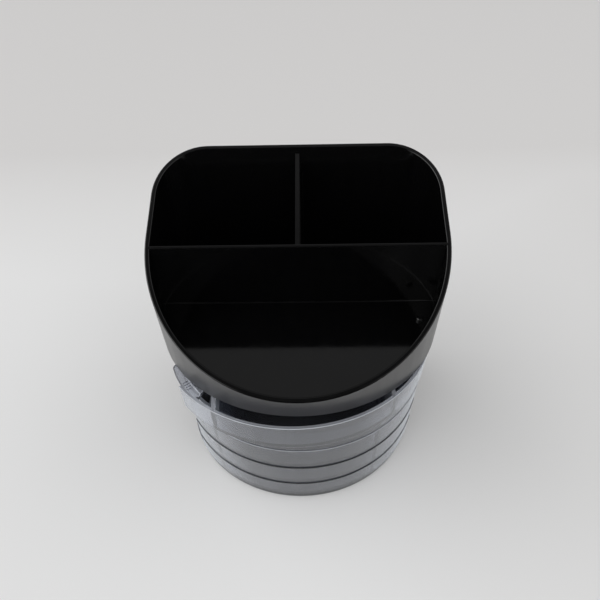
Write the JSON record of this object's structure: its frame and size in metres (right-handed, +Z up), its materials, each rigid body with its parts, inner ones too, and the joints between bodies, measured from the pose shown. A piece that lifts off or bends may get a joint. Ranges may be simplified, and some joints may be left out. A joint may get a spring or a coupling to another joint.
{
  "type": "desktop drawer organizer",
  "caption": "Pen holder with a slanted rim, divided rear wells and a shallow half-round tray above a stack of half-round drawers that swing out on one upright rod.",
  "frame": {"origin": "on the table, in the middle of the footprint with the top drawer open as pictured", "axes": "+X to the right as seen from the front, +Y to the back, +Z up"},
  "size_m": [0.1252, 0.108, 0.1258],
  "materials": {
    "black_gloss": "moulded gloss",
    "smoky_clear": "clear, smoke tint",
    "steel": "zinc plated",
    "nylon": "natural",
    "rubber": "matt"
  },
  "bodies": {
    "holder": {"body": "black_gloss", "well_divider": "black_gloss", "base_plate": "smoky_clear", "foot_1": "rubber", "foot_2": "rubber", "foot_3": "rubber", "foot_4": "rubber", "base_screws": "steel", "pivot_rod": "steel", "pivot_cap": "black_gloss", "push_nut": "steel", "washer_1": "nylon", "washer_2": "nylon", "washer_3": "nylon", "washer_4": "nylon", "washer_5": "nylon", "washer_6": "nylon"},
    "swing_drawer_1": {"drawer_1": "smoky_clear"},
    "swing_drawer_2": {"drawer_2": "smoky_clear"},
    "swing_drawer_3": {"drawer_3": "smoky_clear"},
    "swing_drawer_4": {"drawer_4": "smoky_clear"},
    "swing_drawer_5": {"drawer_5": "smoky_clear"}
  },
  "joints": [
    {"name": "drawer_1_swing", "type": "hinge", "parent": "holder", "child": "swing_drawer_1", "pos_m": [0.05081, -0.00578, 0], "axis": [0, 0, 1], "range_deg": [-7.5, 72.5]},
    {"name": "drawer_2_swing", "type": "hinge", "parent": "holder", "child": "swing_drawer_2", "pos_m": [0.05081, -0.00578, 0], "axis": [0, 0, 1], "range_deg": [0, 80]},
    {"name": "drawer_3_swing", "type": "hinge", "parent": "holder", "child": "swing_drawer_3", "pos_m": [0.05081, -0.00578, 0], "axis": [0, 0, 1], "range_deg": [0, 80]},
    {"name": "drawer_4_swing", "type": "hinge", "parent": "holder", "child": "swing_drawer_4", "pos_m": [0.05081, -0.00578, 0], "axis": [0, 0, 1], "range_deg": [0, 80]},
    {"name": "drawer_5_swing", "type": "hinge", "parent": "holder", "child": "swing_drawer_5", "pos_m": [0.05081, -0.00578, 0], "axis": [0, 0, 1], "range_deg": [0, 80]}
  ]
}
